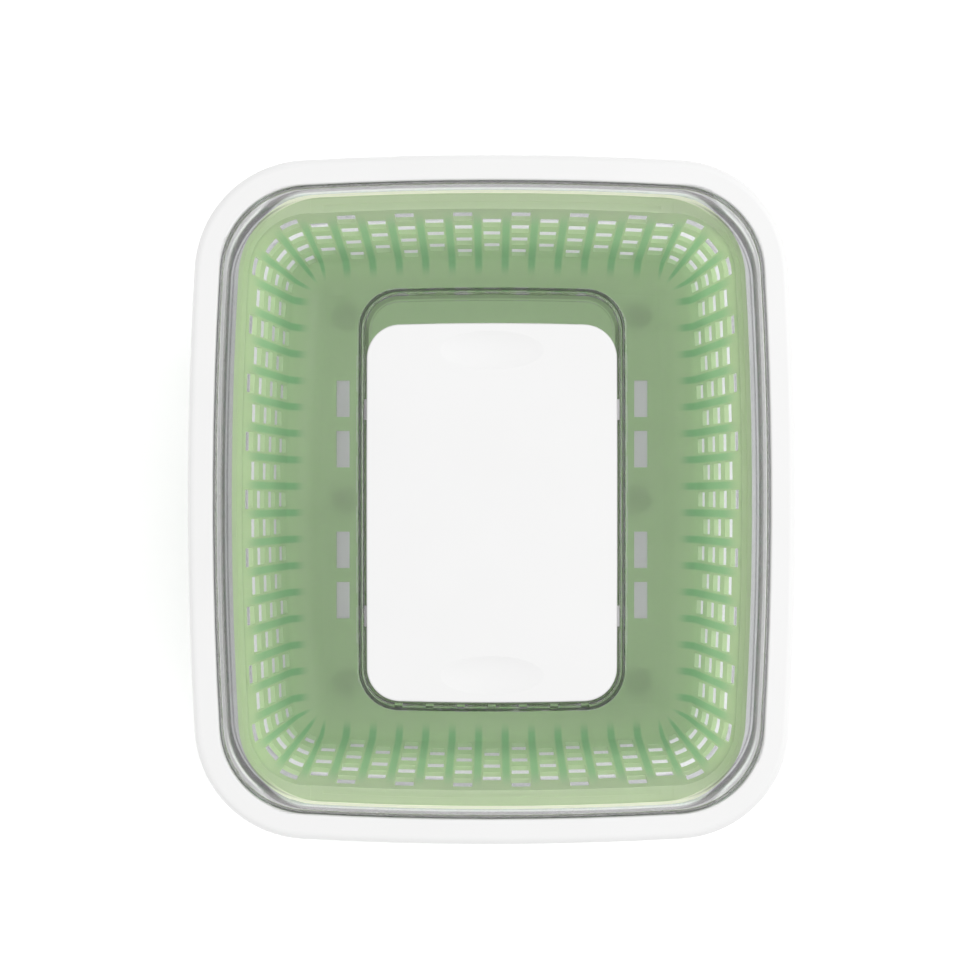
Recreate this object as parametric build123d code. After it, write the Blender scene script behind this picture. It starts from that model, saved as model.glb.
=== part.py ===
from build123d import *
import os
from math import hypot, radians, sqrt, tan

# Produce storage container: a clear bin, a slotted basket that stands in it, and a lid with a sliding vent
# and a hinged filter holder. Millimetres, +Z up, +Y the way the vent opens, origin under the middle of the base.

# Overall size and the lid's outline
overall_height = 160.0
lid_width = 234.8
lid_length = 266.0
lid_side_crown = 1529.0
lid_end_crown = 1311.0
lid_corner = 44.0

# White rim of the lid
rim_band = 9.8
rim_plate = 2.8
rim_skirt = 14.0
rim_skirt_wall = 2.2
rim_outer_round = 3.0
rim_inner_round = 0.8

# Clear bin
skirt_clearance = 0.8
collar_wall = 3.3
collar_height = 15.2
collar_round = 1.0
bin_wall = 2.4
bin_floor = 3.0
bin_draft = 2.2
base_round = 18.0
base_ring_width = 6.0
base_recess = 0.8

# Basket: the outline of its rim and of its wall's inner face at the top
basket_rim_width = 203.4
basket_rim_length = 243.4
basket_rim_corner = 33.6
basket_wall_width = 196.0
basket_wall_length = 228.0
basket_wall_corner = 24.0
basket_side_crown = 1500.0
basket_end_crown = 1290.0
basket_wall = 1.8
basket_floor = 2.2
basket_draft = 4.5
basket_round = 16.0
basket_flange = 2.6
basket_under_lid = 4.6
bead_width = 1.8
bead_height = 1.2
lip_wall = 1.6
lip_height = 5.0
grip_width = 142.0
grip_step = 0.7
groove_width = 1.6
groove_depth = 0.8
groove_inset = 4.8

# Basket's slots, ribs and feet
slot_width = 7.6
slot_width_below = 5.8
slot_height = 18.0
column_pitch = 11.6
row_pitch = 29.0
plain_band = 9.0
rib_width = 2.0
rib_depth = 1.5
rib_run_under = 5.0
floor_slot_length = 16.0
floor_pitch_x = 13.0
floor_pitch_y = 22.0
floor_margin = 8.0
foot_height = 7.0
foot_radius = 6.0
foot_inset_x = 24.0
foot_inset_y = 24.0

# Clear window of the lid
seal_gap = 1.3
plug_wall = 2.6
tray_depth = 12.0
tray_floor = 2.4
tray_round = 3.2

# Ring wall round the vent, with a ledge inside that carries the vent's cover
ring_width = 103.2
ring_length = 163.6
ring_corner = 15.5
ring_side_crown = 12000.0
ring_end_crown = 1200.0
ring_wall = 2.3
ring_below_rim = 1.0
ring_foot_round = 1.2
ring_top_round = 1.1
ledge_width = 2.1
ledge_height = 2.4
air_groove_count = 7
air_groove_pitch = 12.0
air_groove_width = 3.0
air_groove_depth = 1.1

# Sliding vent cover
vent_travel = 10.0
cover_side_gap = 0.85
cover_end_gap = 1.1
cover_length = 146.5
cover_corner = 13.0
cover_below_ring = 0.8
cover_plate = 2.2
cover_wall = 2.0
cover_round = 0.7
slide_clearance = 0.1
scoop_width = 40.0
scoop_length = 15.0
scoop_depth = 1.3
scoop_inset = 10.5
tab_length = 8.0
tab_height = 1.6
tab_above_ledge = 1.4
tab_reach = 1.45
tab_clearance = 0.3
tab_spread = 80.0

# Vent slots, and the shutter and its pad under the cover
vent_slot_count = 5
vent_slot_width = 8.0
vent_slot_length = 66.0
vent_slot_pitch = 20.0
shutter_plate = 1.6
shutter_side_gap = 1.6
pad_thickness = 1.2
pad_margin = 1.0
post_radius = 3.0
pin_radius = 1.5
pin_clearance = 0.1
post_x = 39.5
post_y = 58.0

# Seal round the lid's plug
seal_height = 3.6
seal_seat_depth = 1.0
seal_fit = 0.1
seal_lip_rise = 1.4
seal_above_bottom = 4.0
seal_running = 0.3

# Filter holder under the lid
holder_width = 84.0
holder_length = 126.0
holder_shift = -5.0
holder_corner = 9.0
holder_wall = 2.0
holder_depth = 9.0
holder_bar = 2.0
holder_bar_height = 1.6
holder_bar_spread = 36.0
door_plate = 1.8
door_gap = 0.2
door_rim_wall = 1.4
door_rim_height = 3.0
door_rim_clearance = 0.6
door_slot_count = 8
door_slot_width = 4.0
door_slot_length = 60.0
door_slot_pitch = 12.0
hinge_offset = 3.5
hinge_above_door = 0.8
barrel_radius = 2.6
barrel_length = 72.0
hinge_pin_radius = 1.5
hinge_running = 0.05
ear_width = 4.0
ear_gap = 0.4
ear_radius = 2.9
tongue_width = 22.0
tongue_wall = 1.4
tongue_height = 5.0
tongue_gap = 0.3
tongue_tip = 4.0
catch_reach = 0.2
catch_height = 1.2
catch_inset = 2.0

# Filter: a soft pouch with a carbon pad inside
pouch_width = 74.0
pouch_length = 112.0
pouch_height = 5.0
pouch_corner = 5.0
pouch_hem = 3.0
pouch_hem_height = 0.8
pouch_skin = 0.5
pad_fit = 0.3
soft_gap = 0.3

# Heights that several pieces share
bin_height = overall_height - rim_plate
collar_bottom = bin_height - collar_height
tray_top = overall_height - tray_depth
window_bottom = tray_top - tray_floor
ring_top = overall_height - ring_below_rim
ledge_top = tray_top + ledge_height
cover_bottom = ledge_top + slide_clearance
cover_top = ring_top - cover_below_ring
flange_top = window_bottom - basket_under_lid
flange_bottom = flange_top - basket_flange
basket_bottom = bin_floor + foot_height
basket_inside = basket_bottom + basket_floor
holder_bottom = window_bottom - holder_depth
door_top = holder_bottom - door_gap
door_bottom = door_top - door_plate

# Insets from the lid's outline
collar_outer = rim_skirt_wall + skirt_clearance
collar_inner = collar_outer + collar_wall
plug_outer = collar_inner + seal_gap
plug_inner = plug_outer + plug_wall


class Outline:
    """A rounded rectangle about the origin whose four sides bow outwards on large radii."""

    def __init__(self, half_width, half_length, side_crown, end_crown, corner):
        self.half_width = half_width
        self.half_length = half_length
        self.side_crown = side_crown
        self.end_crown = end_crown
        self.corner = corner

    def inset(self, distance):
        return Outline(
            self.half_width - distance,
            self.half_length - distance,
            self.side_crown - distance,
            self.end_crown - distance,
            self.corner - distance,
        )

    def corner_centre(self):
        """Where the corner's arc is centred, so that it meets both bowed sides smoothly."""
        side = Vector(self.half_width - self.side_crown, 0)
        end = Vector(0, self.half_length - self.end_crown)
        side_reach = self.side_crown - self.corner
        end_reach = self.end_crown - self.corner
        apart = (end - side).length
        along = (side_reach**2 - end_reach**2 + apart**2) / (2 * apart)
        across = sqrt(side_reach**2 - along**2)
        way = (end - side).normalized()
        return side + way * along + Vector(-way.Y, way.X) * across

    def wire(self, height):
        centre = self.corner_centre()
        side_centre = Vector(self.half_width - self.side_crown, 0)
        end_centre = Vector(0, self.half_length - self.end_crown)
        side_way = (centre - side_centre).normalized()
        end_way = (centre - end_centre).normalized()
        side_point = side_centre + side_way * self.side_crown
        end_point = end_centre + end_way * self.end_crown
        corner_point = centre + (side_way + end_way).normalized() * self.corner

        def place(point, mirror_x, mirror_y):
            return Vector(point.X * mirror_x, point.Y * mirror_y, height)

        def side_arc(sign):
            return ThreePointArc(
                place(side_point, sign, -sign),
                Vector(self.half_width * sign, 0, height),
                place(side_point, sign, sign),
            )

        def end_arc(sign):
            return ThreePointArc(
                place(end_point, sign, sign),
                Vector(0, self.half_length * sign, height),
                place(end_point, -sign, sign),
            )

        def corner_arc(mirror_x, mirror_y):
            start = side_point if mirror_x == mirror_y else end_point
            finish = end_point if mirror_x == mirror_y else side_point
            return ThreePointArc(
                place(start, mirror_x, mirror_y),
                place(corner_point, mirror_x, mirror_y),
                place(finish, mirror_x, mirror_y),
            )

        return Wire(
            [
                side_arc(1),
                corner_arc(1, 1),
                end_arc(1),
                corner_arc(-1, 1),
                side_arc(-1),
                corner_arc(-1, -1),
                end_arc(-1),
                corner_arc(1, -1),
            ]
        )

    def prism(self, low, high):
        return Part() + Solid.extrude(Face(self.wire(low)), Vector(0, 0, high - low))

    def band(self, inner, low, high):
        """The ring between this outline and one that lies inside it."""
        return self.prism(low, high) - inner.prism(low, high)


lid_outline = Outline(lid_width / 2, lid_length / 2, lid_side_crown, lid_end_crown, lid_corner)
ring_outline = Outline(ring_width / 2, ring_length / 2, ring_side_crown, ring_end_crown, ring_corner)
basket_rim_outline = Outline(
    basket_rim_width / 2, basket_rim_length / 2, basket_side_crown, basket_end_crown, basket_rim_corner
)
basket_wall_outline = Outline(
    basket_wall_width / 2, basket_wall_length / 2, basket_side_crown, basket_end_crown, basket_wall_corner
)
cover_half_width = ring_width / 2 - ring_wall - cover_side_gap
cover_outline = Outline(cover_half_width, cover_length / 2, ring_side_crown, ring_end_crown, cover_corner)
cover_shift = cover_end_gap - (ring_length / 2 - ring_wall) + cover_length / 2


def tapered(low_outline, low, high_outline, high):
    """A solid with straight drafted walls between two outlines of one family."""
    return Part() + Solid.make_loft([low_outline.wire(low), high_outline.wire(high)], ruled=True)


def edges_at(part, height):
    return part.edges().filter_by_position(Axis.Z, height - 0.01, height + 0.01)


def edges_on(part, outline, height):
    """The edges that run along one outline at one height."""
    wire = outline.wire(height)
    return edges_at(part, height).filter_by(lambda edge: wire.distance_to(edge.position_at(0.5)) < 0.05)


def rounded_box(width, length, corner, low, high, centre_y=0.0):
    base = Pos(0, centre_y, low) * RectangleRounded(width, length, corner)
    return extrude(base, high - low)


def fuse_all(parts):
    parts = list(parts)
    return parts[0].fuse(*parts[1:]) if len(parts) > 1 else parts[0]


def centred_steps(count, pitch):
    """Evenly spaced places about zero."""
    return [(index - (count - 1) / 2) * pitch for index in range(count)]


# Bin


def bin_outer(height):
    """Outline of the bin's outer face at a height below the collar."""
    return lid_outline.inset(collar_inner - bin_wall + (collar_bottom - height) * tan(radians(bin_draft)))


def make_container_bin():
    body = tapered(bin_outer(0), 0, bin_outer(collar_bottom), collar_bottom)
    body = fillet(edges_at(body, 0), base_round)
    body += lid_outline.inset(collar_outer).prism(collar_bottom, bin_height)
    hollow = tapered(
        bin_outer(bin_floor).inset(bin_wall), bin_floor, bin_outer(collar_bottom).inset(bin_wall), collar_bottom
    )
    hollow = fillet(edges_at(hollow, bin_floor), base_round - bin_wall)
    body -= hollow
    body -= lid_outline.inset(collar_inner).prism(collar_bottom, bin_height)
    body -= bin_outer(0).inset(base_round + base_ring_width).prism(0, base_recess)
    return fillet(edges_at(body, bin_height), collar_round)


# Basket


def basket_inner(height):
    """Outline of the basket wall's inner face at a height below the flange."""
    return basket_wall_outline.inset((flange_top - height) * tan(radians(basket_draft)))


def basket_body(outset, rounding):
    """The basket's drafted body, moved outwards by a wall or a rib's depth."""
    low = basket_bottom
    body = tapered(basket_inner(low).inset(-outset), low, basket_inner(flange_top).inset(-outset), flange_top)
    return fillet(edges_at(body, low), rounding)


def wall_columns():
    """Evenly spaced places round the wall, each as its arc's centre, the way out from it, and its radius."""
    edges = basket_wall_outline.wire(0).edges()
    length = sum(edge.length for edge in edges)
    steps = 4 * round(length / (2 * column_pitch))
    columns = []
    for index in range(steps):
        along = (edges[0].length / 2 + index * length / steps) % length
        number = 0
        while along > edges[number].length:
            along -= edges[number].length
            number += 1
        edge = edges[number]
        point = edge.position_at(along, position_mode=PositionMode.LENGTH)
        columns.append((edge.arc_center, (point - edge.arc_center).normalized(), edge.radius))
    return columns[0::2], columns[1::2]


def wall_wedge(column, width, inwards, outwards, low, high):
    """An upright block across the wall whose two sides point at the centre of the wall's arc."""
    centre, way, radius = column
    across = Vector(-way.Y, way.X) * (width / 2 / radius)
    near = radius - inwards
    far = radius + outwards
    corners = [
        centre + way * near - across * near,
        centre + way * far - across * far,
        centre + way * far + across * far,
        centre + way * near + across * near,
    ]
    base = Face(Wire.make_polygon([Vector(corner.X, corner.Y, low) for corner in corners]))
    return Part() + Solid.extrude(base, Vector(0, 0, high - low))


def wall_slots(columns):
    """Rows of upright slots, with every second column half a row lower; the lower slots are narrower."""
    top = flange_top - plain_band
    low = basket_bottom + basket_round
    slots = []
    for index, column in enumerate(columns):
        high = top - (index % 2) * row_pitch / 2
        while high - slot_height > low:
            share = (top - high) / (top - low)
            width = slot_width + (slot_width_below - slot_width) * share
            lean = (flange_top - high + slot_height) * tan(radians(basket_draft))
            reach = 2 * basket_wall
            slots.append(wall_wedge(column, width, lean + reach, reach, high - slot_height, high))
            high -= row_pitch
    return slots


def wall_ribs(columns):
    """Upright ribs outside the wall, one between each two columns of slots."""
    low = basket_bottom
    high = flange_bottom
    inwards = (high - low) * tan(radians(basket_draft)) + rib_run_under
    blocks = [wall_wedge(column, rib_width, inwards, 2 * rib_depth + basket_wall, low, high) for column in columns]
    return basket_body(basket_wall + rib_depth, basket_round + rib_depth) & fuse_all(blocks)


def foot_places():
    flat = basket_inner(basket_inside)
    x = flat.half_width - foot_inset_x
    y = flat.half_length - foot_inset_y
    return [(sx * x, sy * y) for sx in (-1, 1) for sy in (-1, 0, 1)]


def floor_slots():
    flat = basket_inner(basket_inside).inset(basket_round - basket_wall + floor_margin)
    columns = 2 * int(flat.half_width / floor_pitch_x) + 1
    slots = []
    for index, x in enumerate(centred_steps(columns, floor_pitch_x)):
        rows = 2 * int(flat.half_length / floor_pitch_y) + 1 - index % 2
        for y in centred_steps(rows, floor_pitch_y):
            near_foot = any(hypot(x - fx, y - fy) < foot_radius + floor_slot_length / 2 for fx, fy in foot_places())
            if abs(y) + floor_slot_length / 2 < flat.half_length and not near_foot:
                profile = Pos(x, y, basket_bottom) * Rectangle(slot_width_below, floor_slot_length)
                slots.append(extrude(profile, basket_floor))
    return slots


def basket_grip(body):
    """Lower the flange at both ends where it is held, and sink a groove in it."""
    half_grip = grip_width / 2
    inner = basket_rim_outline.inset(bead_width)
    span = Box(grip_width, basket_rim_length + 20, basket_flange * 4)
    step = inner.band(inner.inset(20), flange_top - grip_step, flange_top) & Pos(0, 0, flange_top) * span
    floor = flange_top - grip_step
    groove_outer = basket_rim_outline.inset(groove_inset)
    groove = groove_outer.band(groove_outer.inset(groove_width), floor - groove_depth, floor)
    groove_span = Box(2 * (half_grip - groove_inset), basket_rim_length + 20, basket_flange * 4)
    groove &= Pos(0, 0, flange_top) * groove_span
    return body - step - groove


def make_basket():
    slot_columns, rib_columns = wall_columns()
    body = basket_body(basket_wall, basket_round) + wall_ribs(rib_columns)
    body += basket_rim_outline.prism(flange_bottom, flange_top)
    body += basket_rim_outline.band(basket_rim_outline.inset(bead_width), flange_top, flange_top + bead_height)
    body += basket_rim_outline.band(
        basket_rim_outline.inset(lip_wall), flange_bottom - lip_height, flange_bottom
    )
    hollow = tapered(basket_inner(basket_inside), basket_inside, basket_inner(flange_top), flange_top)
    hollow = fillet(edges_at(hollow, basket_inside), basket_round - basket_wall)
    body -= hollow
    body = basket_grip(body)
    return body - (wall_slots(slot_columns) + floor_slots())


def make_basket_feet():
    """Six feet welded under the basket's floor, which stand on the bin's floor."""
    return fuse_all(Pos(x, y, bin_floor) * extrude(Circle(foot_radius), foot_height) for x, y in foot_places())


# Lid


def make_lid_rim():
    low = overall_height - rim_skirt
    body = lid_outline.prism(low, overall_height)
    body = fillet(edges_at(body, overall_height), rim_outer_round)
    body -= lid_outline.inset(rim_skirt_wall).prism(low, bin_height)
    opening = lid_outline.inset(rim_band)
    body -= opening.prism(bin_height, overall_height)
    return fillet(edges_on(body, opening, overall_height), rim_inner_round)


def vent_slots(shift, low, high, growth=0.0):
    """The row of long slots that the vent opens and closes."""
    profile = SlotOverall(vent_slot_length + growth, vent_slot_width + growth)
    return [
        Pos(0, y + shift, low) * extrude(profile, high - low)
        for y in centred_steps(vent_slot_count, vent_slot_pitch)
    ]


def tab_places():
    return [(side, cover_shift + y) for side in (-1, 1) for y in centred_steps(2, tab_spread)]


def make_lid_window():
    well = ring_outline.inset(ring_wall)
    ledge = well.inset(ledge_width)
    body = lid_outline.inset(plug_outer).prism(window_bottom, bin_height)
    tray = lid_outline.inset(plug_inner).prism(tray_top, bin_height)
    tray = fillet(edges_at(tray, tray_top), tray_round)
    body -= tray
    ring = ring_outline.prism(tray_top, ring_top)
    body += ring
    body = fillet(edges_on(body, ring_outline, tray_top), ring_foot_round)
    body -= well.prism(ledge_top, ring_top)
    body -= ledge.prism(tray_top, ledge_top)
    top_edges = edges_on(body, ring_outline, ring_top) + edges_on(body, well, ring_top)
    body = fillet(top_edges, ring_top_round)
    body -= vent_slots(0, window_bottom, tray_top)
    body -= [air_groove(x) for x in centred_steps(air_groove_count, air_groove_pitch)]
    body -= [tab_groove(side, y) for side, y in tab_places()]
    seat = lid_outline.inset(plug_outer)
    low = window_bottom + seal_above_bottom
    body -= seat.band(seat.inset(seal_seat_depth), low, low + seal_height)
    return body


def air_groove(x):
    """One upright groove in the closed end of the ring wall, which lets air past the cover."""
    end = -(ring_length / 2 - ring_wall)
    height = ring_top - ledge_top
    box = Box(air_groove_width, 2 * air_groove_depth, height)
    return Pos(x, end, ledge_top + height / 2) * box


def tab_groove(side, y):
    """One groove in the ring wall along which a tab of the cover slides."""
    low = ledge_top + tab_above_ledge - tab_clearance
    high = low + tab_height + 2 * tab_clearance
    length = tab_length + vent_travel + 2 * tab_clearance
    tip = cover_half_width + tab_reach + tab_clearance
    inner = ring_width / 2 - ring_wall - 1
    box = Box(tip - inner, length, high - low)
    return Pos(side * (tip + inner) / 2, y + vent_travel / 2, (low + high) / 2) * box


def make_lid_seal():
    """A soft ring in the plug's groove, with a lip that meets the bin's collar."""
    low = window_bottom + seal_above_bottom + seal_fit
    high = low + seal_height - 2 * seal_fit
    middle = (low + high) / 2
    root = lid_outline.inset(plug_outer)
    tip = lid_outline.inset(collar_inner + seal_running)
    body = root.prism(low, high)
    body += tapered(root, middle - seal_lip_rise, tip, middle)
    body += tapered(tip, middle, root, middle + seal_lip_rise)
    return body - root.inset(seal_seat_depth - seal_fit).prism(low, high)


# Sliding vent


def scoop(end):
    """A shallow dish for the thumb near one end of the cover."""
    half_width = scoop_width / 2
    ball_radius = (half_width**2 + scoop_depth**2) / (2 * scoop_depth)
    ball = Sphere(ball_radius)
    squeezed = scale(ball, by=(1, scoop_length / scoop_width, 1))
    y = cover_shift + end * (cover_length / 2 - scoop_inset)
    return Pos(0, y, cover_top - scoop_depth + ball_radius) * squeezed


def make_vent_slider():
    body = Pos(0, cover_shift, 0) * cover_outline.prism(cover_bottom, cover_top)
    body = fillet(edges_at(body, cover_top), cover_round)
    inside = cover_outline.inset(cover_wall)
    body -= Pos(0, cover_shift, 0) * inside.prism(cover_bottom, cover_top - cover_plate)
    body -= [scoop(1), scoop(-1)]
    window = Box(air_groove_width + 2, 4 * cover_wall, ledge_height)
    for end in (-1, 1):
        for x in centred_steps(air_groove_count, air_groove_pitch):
            y = cover_shift + end * cover_length / 2
            body -= Pos(x, y, cover_bottom + ledge_height / 2) * window
    for side, y in tab_places():
        reach = cover_wall + tab_reach
        x = side * (cover_half_width - cover_wall + reach / 2)
        z = ledge_top + tab_above_ledge + tab_height / 2
        body += Pos(x, y, z) * Box(reach, tab_length, tab_height)
    for x, y in post_places():
        body += Pos(x, y, shutter_top) * extrude(Circle(post_radius), cover_top - cover_plate - shutter_top)
        body += Pos(x, y, shutter_bottom) * extrude(Circle(pin_radius), shutter_plate)
    return body


pad_bottom = tray_top + slide_clearance
shutter_bottom = pad_bottom + pad_thickness
shutter_top = shutter_bottom + shutter_plate
shutter_outline = Outline(
    ring_width / 2 - ring_wall - ledge_width - shutter_side_gap,
    cover_length / 2 - ledge_width - 2 * shutter_side_gap,
    ring_side_crown,
    ring_end_crown,
    cover_corner - ledge_width,
)


def post_places():
    return [(sx * post_x, cover_shift + sy * post_y) for sx in (-1, 1) for sy in (-1, 1)]


def shutter_blank(outline, low, high):
    """A plate under the cover whose slots lie between those of the window while the vent is closed."""
    body = Pos(0, cover_shift, 0) * outline.prism(low, high)
    return body - vent_slots(-vent_travel, low, high)


def make_vent_shutter():
    body = shutter_blank(shutter_outline, shutter_bottom, shutter_top)
    holes = [
        Pos(x, y, shutter_bottom) * extrude(Circle(pin_radius + pin_clearance), shutter_plate)
        for x, y in post_places()
    ]
    return body - holes


def make_vent_seal():
    return shutter_blank(shutter_outline.inset(pad_margin), pad_bottom, shutter_bottom)


# Filter holder

holder_side = holder_width / 2
hinge_x = -holder_side - hinge_offset
hinge_z = door_top + hinge_above_door


def hinge_rod(radius, along, length):
    rod = Cylinder(radius, length, rotation=(90, 0, 0))
    return Pos(hinge_x, holder_shift + along, hinge_z) * rod


def ear_places():
    along = barrel_length / 2 + ear_gap + ear_width / 2
    return (-along, along)


def holder_box(margin, low, high):
    return rounded_box(
        holder_width - 2 * margin,
        holder_length - 2 * margin,
        holder_corner - margin,
        low,
        high,
        holder_shift,
    )


def make_filter_frame():
    body = holder_box(0, holder_bottom, window_bottom)
    body -= holder_box(holder_wall, holder_bottom, window_bottom)
    for y in centred_steps(3, holder_bar_spread):
        z = window_bottom - holder_bar_height / 2
        body += Pos(0, holder_shift + y, z) * Box(holder_width - holder_wall, holder_bar, holder_bar_height)
    reach = hinge_offset + holder_wall / 2
    arm_height = holder_depth / 2
    for along in ear_places():
        arm = Box(reach, ear_width, arm_height)
        body += hinge_rod(ear_radius, along, ear_width)
        body += Pos(hinge_x + reach / 2, holder_shift + along, hinge_z + arm_height / 2) * arm
    for along in ear_places():
        body -= hinge_rod(hinge_pin_radius + hinge_running, along, ear_width)
    catch = Box(2 * catch_reach, tongue_width - 2 * catch_inset, catch_height)
    return body + Pos(holder_side, holder_shift, holder_bottom + holder_depth / 3) * catch


def make_filter_door():
    body = holder_box(0, door_bottom, door_top)
    rim_margin = holder_wall + door_rim_clearance
    rim = holder_box(rim_margin, door_top, door_top + door_rim_height)
    body += rim - holder_box(rim_margin + door_rim_wall, door_top, door_top + door_rim_height)
    web_length = hinge_offset + holder_wall
    plate_middle = (door_bottom + door_top) / 2
    body += hinge_rod(barrel_radius, 0, barrel_length)
    body += Pos(hinge_x + web_length / 2, holder_shift, plate_middle) * Box(web_length, barrel_length, door_plate)
    pin_length = ear_gap + ear_width
    for side in (-1, 1):
        body += hinge_rod(hinge_pin_radius, side * (barrel_length + pin_length) / 2, pin_length)
    tongue_top = door_top + tongue_height
    tongue = Box(tongue_wall, tongue_width, tongue_top - door_bottom)
    body += Pos(holder_side + tongue_gap + tongue_wall / 2, holder_shift, (tongue_top + door_bottom) / 2) * tongue
    tip = Box(tongue_tip + holder_wall, tongue_width, door_plate)
    body += Pos(holder_side + (tongue_tip - holder_wall) / 2, holder_shift, plate_middle) * tip
    profile = SlotOverall(door_slot_length, door_slot_width)
    slots = [
        Pos(0, holder_shift + y, door_bottom) * extrude(profile, door_plate)
        for y in centred_steps(door_slot_count, door_slot_pitch)
    ]
    return body - slots


def make_filter_pouch():
    low = door_top + soft_gap
    high = low + pouch_height
    hem_low = low + (pouch_height - pouch_hem_height) / 2
    body = rounded_box(
        pouch_width, pouch_length, pouch_corner, hem_low, hem_low + pouch_hem_height, holder_shift
    )
    swell = rounded_box(
        pouch_width - 2 * pouch_hem, pouch_length - 2 * pouch_hem, pouch_corner, low, high, holder_shift
    )
    swell = fillet(edges_at(swell, low) + edges_at(swell, high), pouch_height / 3)
    body += swell
    return body - carbon_block(0)


def carbon_block(clearance):
    """The carbon pad's block inside the pouch, smaller all round by a clearance."""
    low = door_top + soft_gap + pouch_skin + clearance
    high = door_top + soft_gap + pouch_height - pouch_skin - clearance
    trim = 2 * (pouch_hem + pouch_height / 3 + clearance)
    return rounded_box(
        pouch_width - trim, pouch_length - trim, pouch_corner - 2, low, high, holder_shift
    )


def make_carbon_pad():
    return carbon_block(pad_fit)


makers = {
    "container_bin": make_container_bin,
    "basket": make_basket,
    "basket_feet": make_basket_feet,
    "lid_rim": make_lid_rim,
    "lid_window": make_lid_window,
    "lid_seal": make_lid_seal,
    "vent_slider": make_vent_slider,
    "vent_shutter": make_vent_shutter,
    "vent_seal": make_vent_seal,
    "filter_frame": make_filter_frame,
    "filter_door": make_filter_door,
    "filter_pouch": make_filter_pouch,
    "carbon_pad": make_carbon_pad,
}

os.makedirs("parts", exist_ok=True)
for name, make in makers.items():
    export_step(make(), f"parts/{name}.step")
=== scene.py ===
import bmesh
import bpy
import math
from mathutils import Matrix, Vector


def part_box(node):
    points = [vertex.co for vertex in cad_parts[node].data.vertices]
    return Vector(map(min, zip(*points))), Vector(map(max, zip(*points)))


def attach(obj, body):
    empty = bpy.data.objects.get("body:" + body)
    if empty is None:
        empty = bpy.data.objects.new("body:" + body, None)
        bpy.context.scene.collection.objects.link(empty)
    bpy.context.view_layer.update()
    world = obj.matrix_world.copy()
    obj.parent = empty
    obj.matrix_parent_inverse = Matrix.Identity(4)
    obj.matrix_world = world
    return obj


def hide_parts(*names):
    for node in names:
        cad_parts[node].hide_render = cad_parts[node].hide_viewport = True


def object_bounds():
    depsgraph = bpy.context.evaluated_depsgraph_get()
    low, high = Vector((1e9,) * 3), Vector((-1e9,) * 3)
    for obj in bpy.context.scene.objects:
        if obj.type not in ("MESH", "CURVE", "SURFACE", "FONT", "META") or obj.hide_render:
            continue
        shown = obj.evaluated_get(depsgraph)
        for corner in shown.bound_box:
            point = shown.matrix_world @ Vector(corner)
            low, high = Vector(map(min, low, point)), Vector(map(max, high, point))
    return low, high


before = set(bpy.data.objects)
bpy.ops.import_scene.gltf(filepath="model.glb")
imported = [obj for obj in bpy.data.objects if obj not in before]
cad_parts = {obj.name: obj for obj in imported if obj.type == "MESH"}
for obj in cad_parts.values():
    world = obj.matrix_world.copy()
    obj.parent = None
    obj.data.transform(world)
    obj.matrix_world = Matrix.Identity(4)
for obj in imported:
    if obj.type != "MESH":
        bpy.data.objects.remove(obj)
cad_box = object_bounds()

# The photograph's view: its side and the object's place in it are in pixels, heights in metres
PHOTO_SIDE = 980
MM_PER_PIXEL = 0.385
OBJECT_RIGHT = 1.9
OBJECT_DOWN = 9.5
CAMERA_ABOVE_LID = 1.1
SENSOR_MM = 36.0
LID_TOP = cad_box[1].z

# The basket's wall, which the shading of its ribs follows: each side, end and corner is an arc
SIDE_ARC = 1.5
END_ARC = 1.29
CORNER_ARC = 0.024
WALL_HALF_WIDTH = 0.098
WALL_HALF_LENGTH = 0.114
CORNER_X = 0.07138
CORNER_Y = 0.08799
RIB_PITCH = 0.011597
RIB_HALF_WIDTH = 0.0016
BASKET_FLOOR_TOP = 0.0122
BASKET_RIM_TOP = 0.141

# Steps in the basket's colour, painted light, painted glow and painted highlight: a pair says where a step
# starts and is complete, and a group of four also says where it starts to fade and is gone
RIB_EDGE = (RIB_HALF_WIDTH * 0.6, RIB_HALF_WIDTH * 1.3)
RIB_HEIGHTS = (BASKET_FLOOR_TOP + 0.001, BASKET_FLOOR_TOP + 0.006, 0.09, BASKET_RIM_TOP - 0.005)
# The painted light on the basket's lower wall fades out between these heights
PAINTED_LIGHT_FADE_HEIGHTS = (0.01, 0.13)
# A painted glow on the basket's wall, between these heights
PAINTED_GLOW_HEIGHTS = (0.03, 0.08, BASKET_RIM_TOP - 0.004, BASKET_RIM_TOP - 0.003)
# A painted highlight on the rim's bead, at the rim's ends
BEAD_HIGHLIGHT_HEIGHTS = (BASKET_RIM_TOP + 0.0001, BASKET_RIM_TOP + 0.0007)
BEAD_HIGHLIGHT_END = (0.108, 0.119)
# A painted glow at the rim's ends
RIM_END_GLOW_HEIGHTS = (0.1, 0.12)
RIM_END_GLOW_REACH = (0.1, 0.115)

# The ring round the vent, and the window's tray floor, above which its upright walls get painted grey
# shade
RING_HALF_WIDTH = 0.0516
RING_HALF_LENGTH = 0.0818
RING_SIDE_ARC = 12.0
RING_END_ARC = 1.2
RING_CORNER_ARC = 0.0155
TRAY_FLOOR_TOP = 0.148
UPRIGHT_HEIGHTS = (TRAY_FLOOR_TOP + 0.00005, TRAY_FLOOR_TOP + 0.001)

# Bands of painted grey shade in the window, as distances outside the basket's wall or outside the ring's
# outline
FOOT_BAND = (0.0058, 0.0064, 0.0082, 0.0088)
FOOT_LINE = (0.0046, 0.005, 0.0052, 0.0056)
RING_LINE = (-0.0015, -0.0011, 0.0001, 0.0006)
RING_BODY = (-0.0037, -0.0033, -0.0022, -0.0018)
RING_REACH = (0.004, 0.006)
WINDOW_END = (0.11, 0.12)
RING_END = (0.064, 0.074)

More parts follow.
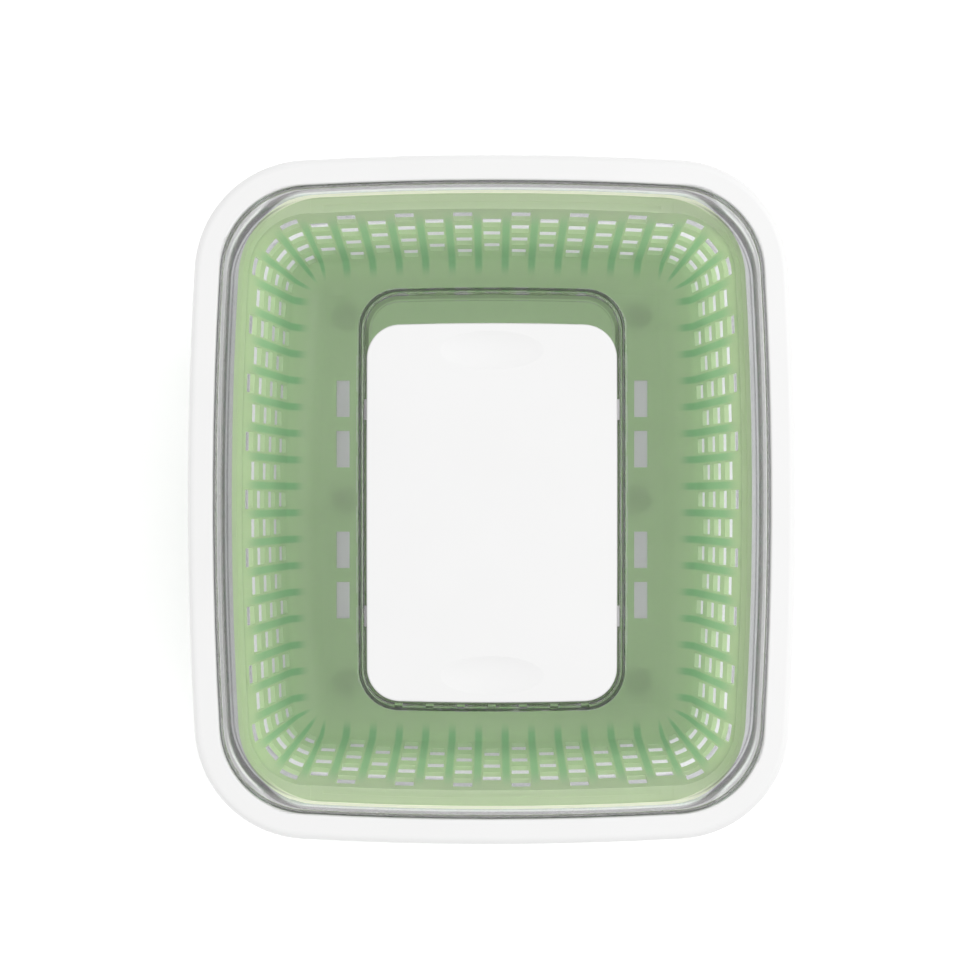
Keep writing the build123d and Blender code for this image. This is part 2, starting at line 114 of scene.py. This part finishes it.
# How dark the painted shade in the bands is, and how it changes towards the ends, and the colour of the
# ring's painted dark line
FOOT_FARTHER_AT_END = 0.0022
FOOT_LINE_PAINTED_SHADE = 0.6
UPRIGHT_LESS_AT_END = 0.8
RING_PAINTED_SHADE = 0.85
RING_LESS_AT_END = 0.45
RING_LINE_SHADE_COLOUR = (0.11, 0.11, 0.12, 1.0)

# How much light the clear plastic takes in per metre, and the share that goes through the basket's wall
DEPTH_DENSITY = 30.0
LIGHT_THROUGH_WALL = 0.42


# Shader maths

class Value:
    """A number in a material's node tree, with Python's own operators."""

    def __init__(self, finish, socket):
        self.finish = finish
        self.socket = socket

    def combine(self, operation, first, second):
        return self.finish.value("ShaderNodeMath", {"operation": operation}, {0: first, 1: second})

    def __add__(self, other):
        return self.combine("ADD", self, other)

    def __radd__(self, other):
        return self.combine("ADD", other, self)

    def __sub__(self, other):
        return self.combine("SUBTRACT", self, other)

    def __rsub__(self, other):
        return self.combine("SUBTRACT", other, self)

    def __mul__(self, other):
        return self.combine("MULTIPLY", self, other)

    def __truediv__(self, other):
        return self.combine("DIVIDE", self, other)

    def __pow__(self, other):
        return self.combine("POWER", self, other)

    def __abs__(self):
        return self.finish.value("ShaderNodeMath", {"operation": "ABSOLUTE"}, {0: self})

    def fraction(self):
        return self.finish.value("ShaderNodeMath", {"operation": "FRACT"}, {0: self})

    def at_most(self, limit):
        return self.combine("MINIMUM", self, limit)

    def angle_over(self, other):
        return self.combine("ARCTAN2", self, other)

    def clamped(self, low=0.0, high=1.0):
        return self.finish.value("ShaderNodeClamp", {}, {"Value": self, "Min": low, "Max": high})

    def above(self, low, high):
        """0 below low and 1 above high, with a smooth step between."""
        return self.finish.value(
            "ShaderNodeMapRange",
            {"interpolation_type": "SMOOTHSTEP"},
            {"Value": self, "From Min": low, "From Max": high},
        )

    def between(self, low, full_from, full_to, high):
        """1 from full_from to full_to, and 0 below low and above high, with smooth steps between."""
        return self.above(low, full_from) * (1 - self.above(full_to, high))


class Finish:
    """One material and the nodes in it."""

    def __init__(self, name):
        self.material = bpy.data.materials.new(name)
        self.material.use_nodes = True
        self.tree = self.material.node_tree
        self.tree.nodes.clear()
        self.output = self.tree.nodes.new("ShaderNodeOutputMaterial")

    def node(self, kind, settings=None, inputs=None):
        made = self.tree.nodes.new(kind)
        for name, setting in (settings or {}).items():
            setattr(made, name, setting)
        for key, given in (inputs or {}).items():
            socket = made.inputs[key]
            if isinstance(given, Value):
                given = given.socket
            if isinstance(given, bpy.types.NodeSocket):
                self.tree.links.new(given, socket)
            else:
                socket.default_value = given
        return made

    def value(self, kind, settings=None, inputs=None, output=0):
        return Value(self, self.node(kind, settings, inputs).outputs[output])

    def place(self):
        return self.node("ShaderNodeTexCoord").outputs["Object"]

    def coordinates(self):
        split = self.node("ShaderNodeSeparateXYZ", {}, {0: self.place()})
        return [Value(self, output) for output in split.outputs]

    def noise(self, size, detail=3.0, roughness=0.5):
        """Noise whose lumps are about as wide as size, in metres."""
        inputs = {"Vector": self.place(), "Scale": 1.0 / size, "Detail": detail, "Roughness": roughness}
        return self.value("ShaderNodeTexNoise", {}, inputs)

    def mixed(self, share, first, second):
        made = self.node("ShaderNodeMix", {"data_type": "RGBA"}, {0: share, 6: first, 7: second})
        return made.outputs[2]

    def bump(self, height, distance, strength):
        inputs = {"Height": height, "Distance": distance, "Strength": strength}
        return self.node("ShaderNodeBump", {}, inputs).outputs[0]

    def surface(self, shader):
        self.tree.links.new(shader, self.output.inputs["Surface"])
        return self.material

    def principled(self, inputs):
        return self.node("ShaderNodeBsdfPrincipled", {}, inputs).outputs[0]

    def lets_lamps_through(self, shader, tint):
        """Clear pieces pass the lamps' light on, so that what is behind them is lit."""
        path = self.node("ShaderNodeLightPath")
        clear = self.node("ShaderNodeBsdfTransparent", {}, {"Color": tint})
        inputs = {0: path.outputs["Is Shadow Ray"], 1: shader, 2: clear.outputs[0]}
        return self.node("ShaderNodeMixShader", {}, inputs).outputs[0]


def shade(red, green, blue):
    return (red, green, blue, 1.0)


def white_plastic():
    finish = Finish("white_satin_plastic")
    cloud = finish.noise(0.03)
    grain = finish.noise(0.0006, 2.0, 0.6)
    colour = finish.mixed(cloud, shade(0.705, 0.705, 0.703), shade(0.725, 0.725, 0.725))
    roughness = 0.36 + cloud * 0.1 + grain * 0.06
    normal = finish.bump(grain, 0.00001, 0.35)
    return finish.surface(finish.principled({
        "Base Color": colour,
        "Roughness": roughness,
        "IOR": 1.46,
        "Normal": normal,
    }))


def beyond(x, y, half_width, half_length, side_arc, end_arc, corner_arc):
    """How far outside a rounded outline with bowed sides and ends a place is."""
    past_side = (x + y * y / (2 * side_arc) - (half_width - corner_arc)).clamped()
    past_end = (y + x * x / (2 * end_arc) - (half_length - corner_arc)).clamped()
    return (past_side ** 2 + past_end ** 2) ** 0.5 - corner_arc


def window_painted_shade(finish, clear, edge_shade_colour):
    """The window's colour, with painted grey shade on its upright walls, along their foot and round the
    vent's ring.
    """
    x, y, z = finish.coordinates()
    out = beyond(abs(x), abs(y), WALL_HALF_WIDTH, WALL_HALF_LENGTH, SIDE_ARC, END_ARC, CORNER_ARC)
    out_of_ring = beyond(
        abs(x), abs(y), RING_HALF_WIDTH, RING_HALF_LENGTH, RING_SIDE_ARC, RING_END_ARC, RING_CORNER_ARC
    )
    at_end = abs(y).above(*WINDOW_END)
    upright = z.above(*UPRIGHT_HEIGHTS) * (1 - at_end * UPRIGHT_LESS_AT_END)
    foot = (out - at_end * FOOT_FARTHER_AT_END).between(*FOOT_BAND)
    line = out.between(*FOOT_LINE) * (1 - at_end) * FOOT_LINE_PAINTED_SHADE
    rim_painted_shade = 1 - (1 - upright) * (1 - foot) * (1 - line)
    by_ring = 1 - out_of_ring.above(*RING_REACH)
    ring_painted_shade = out_of_ring.between(*RING_BODY) * (RING_PAINTED_SHADE - y.above(*RING_END) * RING_LESS_AT_END)
    grey = finish.mixed(rim_painted_shade * (1 - by_ring) + ring_painted_shade * by_ring, clear, edge_shade_colour)
    return finish.mixed(out_of_ring.between(*RING_LINE) * upright, grey, RING_LINE_SHADE_COLOUR)


def clear_plastic(name, tint_light, tint_dark, edge_shade_colour, depth_colour, waviness, shade_painter=None):
    """Clear plastic with painted grey shade where the eye looks along a wall, and more painted shade where
    a given painter adds it.
    """
    finish = Finish(name)
    cloud = finish.noise(0.05)
    wave = finish.noise(0.035, 1.0)
    scuff = finish.noise(0.004, 4.0, 0.7)
    grazing = finish.value("ShaderNodeLayerWeight", {}, {"Blend": 0.5}, "Facing")
    face_on = finish.mixed(cloud, tint_light, tint_dark)
    # Painted shade: the colour turns grey where the wall is seen edge-on
    colour = finish.mixed(grazing.above(0.55, 0.95), face_on, edge_shade_colour)
    # The window adds its painted grey bands and dark ring line here
    if shade_painter is not None:
        colour = shade_painter(finish, colour, edge_shade_colour)
    roughness = 0.012 + scuff.above(0.55, 0.8) * 0.03
    normal = finish.bump(wave, waviness, 1.0)
    shader = finish.principled({
        "Base Color": colour,
        "Roughness": roughness,
        "IOR": 1.5,
        "Transmission Weight": 1.0,
        "Normal": normal,
    })
    inputs = {"Color": depth_colour, "Density": DEPTH_DENSITY}
    depth = finish.node("ShaderNodeVolumeAbsorption", {}, inputs)
    finish.tree.links.new(depth.outputs[0], finish.output.inputs["Volume"])
    return finish.surface(finish.lets_lamps_through(shader, shade(0.95, 0.95, 0.95)))


def along_wall(x, y):
    """How far round the basket's wall a place is from the middle of its long side."""
    side_angle = math.atan2(CORNER_Y, CORNER_X + SIDE_ARC - WALL_HALF_WIDTH)
    end_angle = math.atan2(CORNER_X, CORNER_Y + END_ARC - WALL_HALF_LENGTH)
    corner_angle = math.pi / 2 - side_angle - end_angle
    along_side = y * SIDE_ARC / (x + (SIDE_ARC - WALL_HALF_WIDTH))
    along_end = x * END_ARC / (y + (END_ARC - WALL_HALF_LENGTH))
    turned = (y - CORNER_Y).angle_over(x - CORNER_X) - side_angle
    end_length = END_ARC * end_angle
    on_side = along_side.at_most(SIDE_ARC * side_angle)
    on_corner = turned.clamped(0.0, corner_angle) * CORNER_ARC
    past_corner = end_length - along_end.at_most(end_length)
    return on_side + on_corner + past_corner


def rib_shade(finish):
    """Where the ribs behind the wall make the plastic thicker and its colour deeper."""
    x, y, z = finish.coordinates()
    steps = along_wall(abs(x), abs(y)) / RIB_PITCH
    off_rib = abs((steps.fraction() - 0.5) * RIB_PITCH)
    return (1 - off_rib.above(*RIB_EDGE)) * z.between(*RIB_HEIGHTS)


def green_plastic():
    finish = Finish("green_translucent_plastic")
    x, y, z = finish.coordinates()
    cloud = finish.noise(0.04)
    grain = finish.noise(0.0008, 2.0, 0.6)
    # Painted light: the wall's colour is lightened towards its foot
    low = 1 - z.above(*PAINTED_LIGHT_FADE_HEIGHTS)
    pale = finish.mixed(cloud, shade(0.65, 0.81, 0.5), shade(0.7, 0.83, 0.55))
    wall = finish.mixed(low * 0.5, pale, shade(0.68, 0.86, 0.58))
    ribbed = finish.mixed(rib_shade(finish), wall, shade(0.34, 0.7, 0.36))
    # Painted highlight: the bead at the rim's ends is painted cream and also glows through the emission
    # below
    bead_highlight = z.above(*BEAD_HIGHLIGHT_HEIGHTS) * abs(y).above(*BEAD_HIGHLIGHT_END)
    colour = finish.mixed(bead_highlight, ribbed, shade(0.97, 0.98, 0.86))
    # Painted glow: emission lifts the upper wall and, a little differently, the rim's ends
    rim_end_painted_glow = z.above(*RIM_END_GLOW_HEIGHTS) * abs(y).above(*RIM_END_GLOW_REACH)
    wall_painted_glow = finish.mixed(z.between(*PAINTED_GLOW_HEIGHTS), shade(0.0, 0.0, 0.0), shade(0.13, 0.14, 0.1))
    painted_glow = finish.mixed(rim_end_painted_glow, wall_painted_glow, shade(0.1, 0.07, 0.105))
    roughness = 0.24 + grain * 0.1
    normal = finish.bump(grain, 0.00001, 0.3)
    body = finish.principled({
        "Base Color": colour,
        "Roughness": roughness,
        "IOR": 1.5,
        "Alpha": 0.8,
        "Emission Color": finish.mixed(bead_highlight, painted_glow, shade(0.6, 0.6, 0.48)),
        "Emission Strength": 1.0,
        "Normal": normal,
    })
    through = finish.node("ShaderNodeBsdfTranslucent", {}, {"Color": colour, "Normal": normal})
    inputs = {0: LIGHT_THROUGH_WALL, 1: body, 2: through.outputs[0]}
    return finish.surface(finish.node("ShaderNodeMixShader", {}, inputs).outputs[0])


def silicone():
    finish = Finish("frosted_silicone")
    cloud = finish.noise(0.02)
    grain = finish.noise(0.0012, 2.0)
    colour = finish.mixed(cloud, shade(0.3, 0.3, 0.31), shade(0.36, 0.36, 0.37))
    return finish.surface(finish.principled({
        "Base Color": colour,
        "Roughness": 0.45 + grain * 0.15,
        "Alpha": 0.6,
        "Normal": finish.bump(grain, 0.00002, 0.4),
    }))


def pouch_cloth():
    finish = Finish("pouch_non_woven")
    fibre = finish.noise(0.0009, 5.0, 0.7)
    cloud = finish.noise(0.012)
    colour = finish.mixed(cloud * 0.6 + fibre * 0.4, shade(0.7, 0.7, 0.67), shade(0.8, 0.8, 0.78))
    return finish.surface(finish.principled({
        "Base Color": colour,
        "Roughness": 0.8 + fibre * 0.15,
        "Sheen Weight": 0.3,
        "Normal": finish.bump(fibre, 0.0001, 0.6),
    }))


def carbon_felt():
    finish = Finish("carbon_felt")
    fibre = finish.noise(0.0007, 5.0, 0.75)
    colour = finish.mixed(fibre, shade(0.012, 0.012, 0.013), shade(0.04, 0.04, 0.042))
    return finish.surface(finish.principled({
        "Base Color": colour,
        "Roughness": 0.85 + fibre * 0.1,
        "Normal": finish.bump(fibre, 0.00015, 0.7),
    }))


def floor_paint():
    finish = Finish("pale_floor")
    cloud = finish.noise(0.6)
    colour = finish.mixed(cloud, shade(0.93, 0.93, 0.93), shade(0.95, 0.95, 0.95))
    return finish.surface(finish.principled({
        "Base Color": colour,
        "Roughness": 0.8,
        "Emission Color": shade(1.0, 1.0, 1.0),
        "Emission Strength": 0.2,
    }))


white = white_plastic()
window_clear = clear_plastic(
    "clear_window_plastic",
    shade(0.985, 0.99, 0.985),
    shade(0.965, 0.975, 0.975),
    # the painted grey shade where a wall is seen edge-on, also used in the window's bands
    shade(0.36, 0.345, 0.355),
    shade(0.32, 0.33, 0.325),
    0.00004,
    window_painted_shade,
)
bin_clear = clear_plastic(
    "clear_bin_plastic",
    shade(0.95, 0.95, 0.965),
    shade(0.93, 0.93, 0.95),
    # the painted grey shade where the bin's wall is seen edge-on
    shade(0.33, 0.32, 0.35),
    shade(0.36, 0.35, 0.4),
    0.0001,
)
green = green_plastic()
rubber = silicone()
cloth = pouch_cloth()
felt = carbon_felt()

node_finishes = {
    "container_bin": bin_clear,
    "basket": green,
    "basket_feet": green,
    "lid_rim": white,
    "lid_window": window_clear,
    "lid_seal": rubber,
    "vent_slider": white,
    "vent_shutter": window_clear,
    "vent_seal": rubber,
    "filter_frame": white,
    "filter_door": white,
    "filter_pouch": cloth,
    "carbon_pad": felt,
}
for name, material in node_finishes.items():
    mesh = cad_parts[name].data
    mesh.materials.clear()
    mesh.materials.append(material)


# Soft pieces: the points round a sheet and its rows inwards, which crowd together near the hem, how the
# folds wander along the hem, and the shallow dimples in the swell

PADS_AROUND = 288
PADS_INWARDS = 26
ROW_CROWDING = 1.4
FOLD_WANDER = (0.7, 90)
DIMPLE_SHARE = 0.05
DIMPLE_WAVES = (150, 110)
DIMPLE_STARTS = (1.3, 0.4)


def rounded_loop(half_x, half_y, corner, count):
    """Evenly spaced points round a rounded rectangle, and how far along it each one is."""
    straight_x = 2 * (half_x - corner)
    straight_y = 2 * (half_y - corner)
    quarter = corner * math.pi / 2
    length = 2 * (straight_x + straight_y) + 4 * quarter
    points = []
    for index in range(count):
        along = index * length / count
        turn = 0
        sides = [straight_y, straight_x, straight_y, straight_x]
        rest = along
        while rest > sides[turn] + quarter:
            rest -= sides[turn] + quarter
            turn += 1
        across_x = half_x if turn % 2 == 0 else half_y
        side = sides[turn]
        if rest < side:
            x, y = across_x, rest - side / 2
        else:
            angle = (rest - side) / corner
            x = across_x - corner + corner * math.cos(angle)
            y = side / 2 + corner * math.sin(angle)
        for _ in range(turn):
            x, y = -y, x
        points.append((x, y, along))
    return points


def pad_height(x, y, along, side, half, shape):
    """How far a pad's sheet stands from its middle, as a share of half its thickness."""
    inside = min(half.x - abs(x), half.y - abs(y))
    risen = min(max((inside - shape["hem"]) / shape["swell"], 0.0), 1.0)
    crown = math.sqrt(1 - (1 - risen) ** 2)
    wander, wander_turns = FOLD_WANDER
    turn = 2 * math.pi * along / shape["pucker_pitch"]
    fold = math.sin(turn + wander * math.sin(along * wander_turns))
    dimple_x = math.sin(x * DIMPLE_WAVES[0] + DIMPLE_STARTS[0] * side)
    dimple_y = math.sin(y * DIMPLE_WAVES[1] + DIMPLE_STARTS[1])
    height = shape["hem_share"] + (1 - shape["hem_share"]) * crown
    height -= shape["pucker"] * (0.5 + 0.5 * fold) * 4 * risen * (1 - risen) * (1 - risen)
    height -= DIMPLE_SHARE * risen * (1 + dimple_x * dimple_y)
    return height


def pad_sheet(mesh, loop, middle, half, side, shape):
    """One side of a pad, in rows of points that run inwards to a small flat patch. Gives its outer row."""
    rows = []
    for step in range(PADS_INWARDS):
        share = 1 - (step / PADS_INWARDS) ** ROW_CROWDING
        row = []
        for x, y, along in loop:
            px, py = x * share, y * share
            rise = side * half.z * pad_height(px, py, along, side, half, shape)
            row.append(mesh.verts.new((middle.x + px, middle.y + py, middle.z + rise)))
        rows.append(row)
    for outer, inner in zip(rows, rows[1:]):
        for index in range(PADS_AROUND):
            after = (index + 1) % PADS_AROUND
            mesh.faces.new((outer[index], outer[after], inner[after], inner[index]))
    mesh.faces.new(rows[-1])
    return rows[0]


def make_pad(name, node, material, shape):
    """A crowned closed pad in the space of a node: a flat hem round it, then a swell that puckers."""
    low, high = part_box(node)
    middle = (low + high) / 2
    half = (high - low) / 2
    loop = rounded_loop(half.x, half.y, shape["corner"], PADS_AROUND)
    mesh = bmesh.new()
    upper, lower = [pad_sheet(mesh, loop, middle, half, side, shape) for side in (1, -1)]
    for index in range(PADS_AROUND):
        after = (index + 1) % PADS_AROUND
        mesh.faces.new((upper[index], upper[after], lower[after], lower[index]))
    bmesh.ops.recalc_face_normals(mesh, faces=mesh.faces)
    data = bpy.data.meshes.new(name)
    mesh.to_mesh(data)
    mesh.free()
    for polygon in data.polygons:
        polygon.use_smooth = True
    data.materials.append(material)
    piece = bpy.data.objects.new(name, data)
    bpy.context.scene.collection.objects.link(piece)
    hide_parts(node)
    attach(piece, "filter_door")
    return piece


# The outline's corner, the hem's width and its share of the height, the width of the swell inside it,
# and the depth and pitch of the folds in the swell
POUCH_SHAPE = {
    "corner": 0.005,
    "hem": 0.0034,
    "hem_share": 0.16,
    "swell": 0.008,
    "pucker": 0.22,
    "pucker_pitch": 0.0046,
}
FELT_SHAPE = {
    "corner": 0.003,
    "hem": 0.0,
    "hem_share": 0.7,
    "swell": 0.0016,
    "pucker": 0.0,
    "pucker_pitch": 0.01,
}
pouch = make_pad("filter_pouch_cloth", "filter_pouch", cloth, POUCH_SHAPE)
pad = make_pad("carbon_felt_pad", "carbon_pad", felt, FELT_SHAPE)


# Floor, lamps and camera: the world is brighter overhead than at the horizon

FLOOR_HALF = 3.0
FLOOR_BELOW = 0.0002
HORIZON_LIGHT = 0.7
OVERHEAD_LIGHT = 0.98
FULL_LIGHT_FROM = 0.75
LAMP_SIDE = 1.6
LAMP_AIM = Vector((0, 0, 0.1))


def make_floor():
    mesh = bpy.data.meshes.new("floor")
    signs = [(-1, -1), (1, -1), (1, 1), (-1, 1)]
    corners = [(x * FLOOR_HALF, y * FLOOR_HALF, cad_box[0].z - FLOOR_BELOW) for x, y in signs]
    mesh.from_pydata(corners, [], [(0, 1, 2, 3)])
    mesh.materials.append(floor_paint())
    floor = bpy.data.objects.new("floor", mesh)
    bpy.context.scene.collection.objects.link(floor)


def make_lamp(name, place, watts):
    data = bpy.data.lights.new(name, "AREA")
    data.shape = "SQUARE"
    data.size = LAMP_SIDE
    data.energy = watts
    lamp = bpy.data.objects.new(name, data)
    bpy.context.scene.collection.objects.link(lamp)
    lamp.location = place
    lamp.rotation_euler = (LAMP_AIM - Vector(place)).to_track_quat("-Z", "Y").to_euler()


def make_world():
    world = bpy.data.worlds.new("studio")
    world.use_nodes = True
    tree = world.node_tree
    back = tree.nodes["Background"]
    back.inputs["Color"].default_value = shade(1.0, 1.0, 1.0)
    place = tree.nodes.new("ShaderNodeTexCoord")
    split = tree.nodes.new("ShaderNodeSeparateXYZ")
    rise = tree.nodes.new("ShaderNodeMapRange")
    rise.inputs["From Min"].default_value = 0.0
    rise.inputs["From Max"].default_value = FULL_LIGHT_FROM
    rise.inputs["To Min"].default_value = HORIZON_LIGHT
    rise.inputs["To Max"].default_value = OVERHEAD_LIGHT
    tree.links.new(place.outputs["Generated"], split.inputs[0])
    tree.links.new(split.outputs[2], rise.inputs["Value"])
    tree.links.new(rise.outputs[0], back.inputs["Strength"])
    bpy.context.scene.world = world


def make_camera():
    data = bpy.data.cameras.new("camera")
    camera = bpy.data.objects.new("camera", data)
    bpy.context.scene.collection.objects.link(camera)
    data.sensor_width = SENSOR_MM
    data.lens = SENSOR_MM * CAMERA_ABOVE_LID * 1000 / (PHOTO_SIDE * MM_PER_PIXEL)
    data.shift_x = -OBJECT_RIGHT / PHOTO_SIDE
    data.shift_y = OBJECT_DOWN / PHOTO_SIDE
    data.clip_start = 0.01
    data.clip_end = 100.0
    camera.location = (0, 0, LID_TOP + CAMERA_ABOVE_LID)
    camera.rotation_euler = (0, 0, 0)
    bpy.context.scene.camera = camera


make_floor()
make_world()
make_lamp("soft_right", (1.5, 0.5, 1.6), 20)
make_lamp("soft_left", (-1.6, -0.5, 1.6), 8)
make_camera()
bpy.context.scene.view_settings.view_transform = "Standard"
